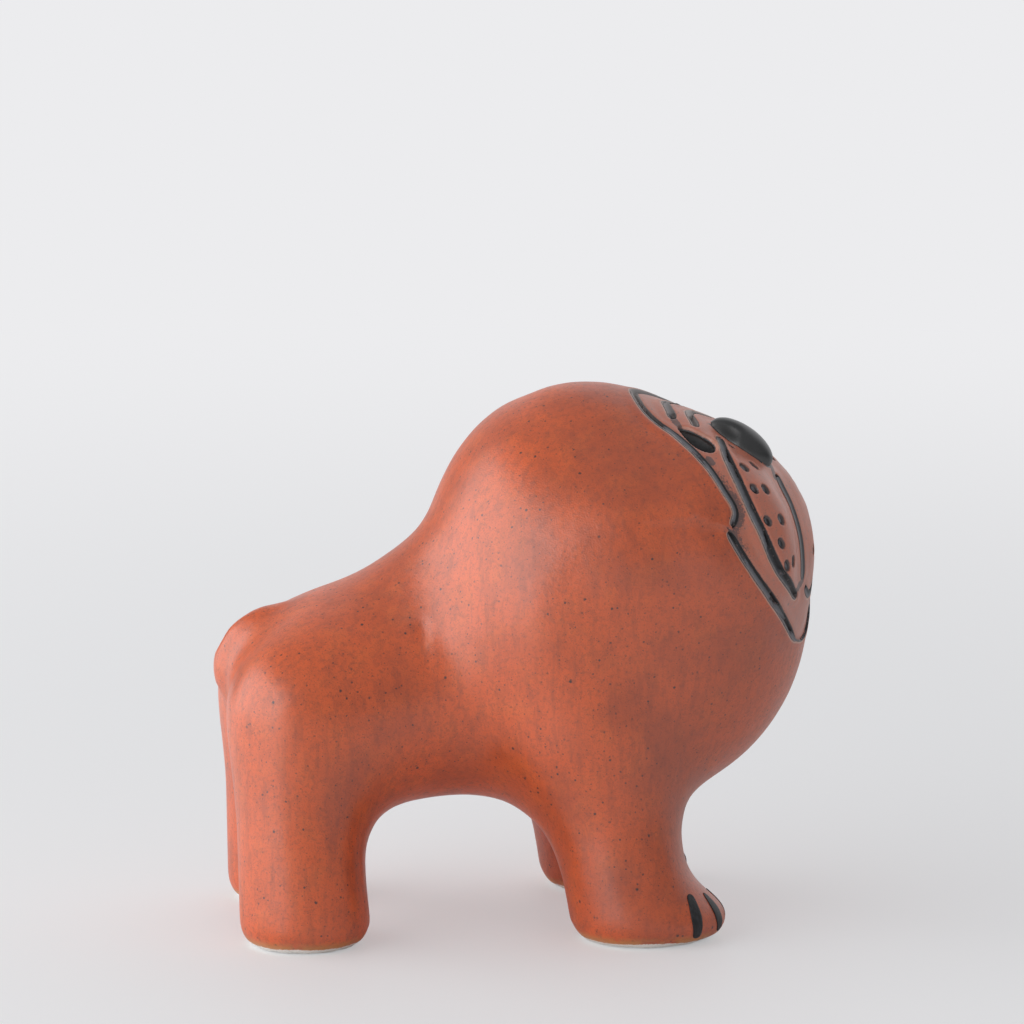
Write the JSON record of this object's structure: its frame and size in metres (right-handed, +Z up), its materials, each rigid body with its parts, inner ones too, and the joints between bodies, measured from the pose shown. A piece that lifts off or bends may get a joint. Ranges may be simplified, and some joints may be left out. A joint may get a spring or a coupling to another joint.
{
  "type": "bulldog figurine",
  "caption": "Standing stoneware bulldog ornament with its head turned to one side, a black nose and dark lines cut into its face; it rests on a shelf or table.",
  "frame": {"origin": "on the floor, below the middle of the dog's outer box", "axes": "+X ahead, +Y to the dog's left, +Z up"},
  "size_m": [0.1204, 0.0746, 0.1083],
  "materials": {
    "iron_red_glaze": "satin iron-red glaze with dark specks over cream stoneware",
    "blue_black_pigment": "matt blue-black ceramic pigment",
    "black_glaze": "satin black glaze"
  },
  "bodies": {
    "root": {"stoneware_casting": "iron_red_glaze", "nose_pad": "black_glaze", "eye_left": "black_glaze", "eye_right": "black_glaze", "hood_line": "blue_black_pigment", "brow_line": "blue_black_pigment", "bridge_line": "blue_black_pigment", "philtrum_line": "blue_black_pigment", "jowl_line": "blue_black_pigment", "flew_line_left": "blue_black_pigment", "flew_line_right": "blue_black_pigment", "whisker_left_1": "blue_black_pigment", "whisker_left_2": "blue_black_pigment", "whisker_left_3": "blue_black_pigment", "whisker_left_4": "blue_black_pigment", "whisker_left_5": "blue_black_pigment", "whisker_left_6": "blue_black_pigment", "whisker_left_7": "blue_black_pigment", "whisker_left_8": "blue_black_pigment", "whisker_left_9": "blue_black_pigment", "whisker_left_10": "blue_black_pigment", "whisker_right_1": "blue_black_pigment", "whisker_right_2": "blue_black_pigment", "whisker_right_3": "blue_black_pigment", "whisker_right_4": "blue_black_pigment", "whisker_right_5": "blue_black_pigment", "whisker_right_6": "blue_black_pigment", "whisker_right_7": "blue_black_pigment", "whisker_right_8": "blue_black_pigment", "whisker_right_9": "blue_black_pigment", "whisker_right_10": "blue_black_pigment", "toe_left_1": "blue_black_pigment", "toe_left_2": "blue_black_pigment", "toe_left_3": "blue_black_pigment", "toe_right_1": "blue_black_pigment", "toe_right_2": "blue_black_pigment", "toe_right_3": "blue_black_pigment"}
  },
  "joints": []
}
